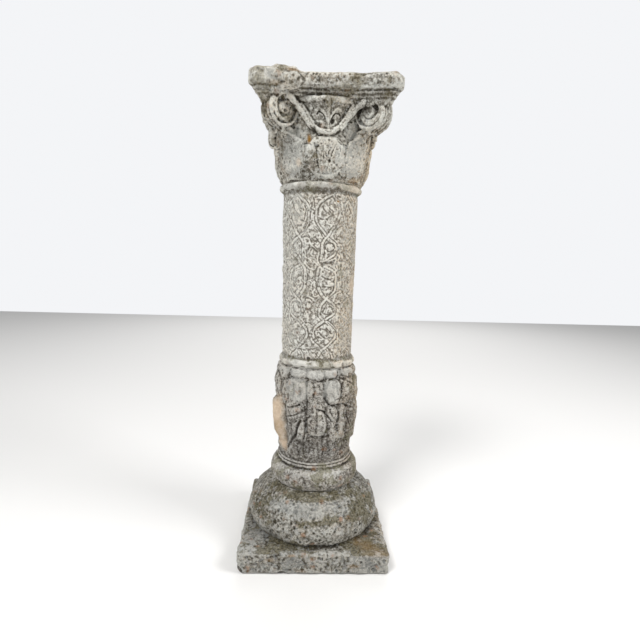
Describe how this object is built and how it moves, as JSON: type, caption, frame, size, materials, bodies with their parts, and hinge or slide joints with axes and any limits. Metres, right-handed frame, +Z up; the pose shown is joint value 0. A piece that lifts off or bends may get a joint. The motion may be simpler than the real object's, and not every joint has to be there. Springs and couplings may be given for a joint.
{
  "type": "column pedestal",
  "caption": "Free-standing weathered stone pedestal column: square plinth, round base, draped drum, knotwork shaft and leafed capital with a flat top.",
  "frame": {"origin": "middle of the underside of the square plinth, at floor level", "axes": "+Z up the column, -Y towards the carved front, +X to the right seen from the front"},
  "size_m": [0.3019, 0.3024, 0.8932],
  "materials": {
    "mossy_stone": "rough weathered stone with moss and pale lichen",
    "carved_grey_stone": "rough weathered stone, dark in the hollows",
    "pale_grey_stone": "rough pale weathered stone",
    "capital_stone": "rough weathered stone with blue-grey lichen"
  },
  "bodies": {
    "root": {"plinth_base": "mossy_stone", "lower_drum": "carved_grey_stone", "shaft": "pale_grey_stone", "capital": "capital_stone"}
  },
  "joints": []
}
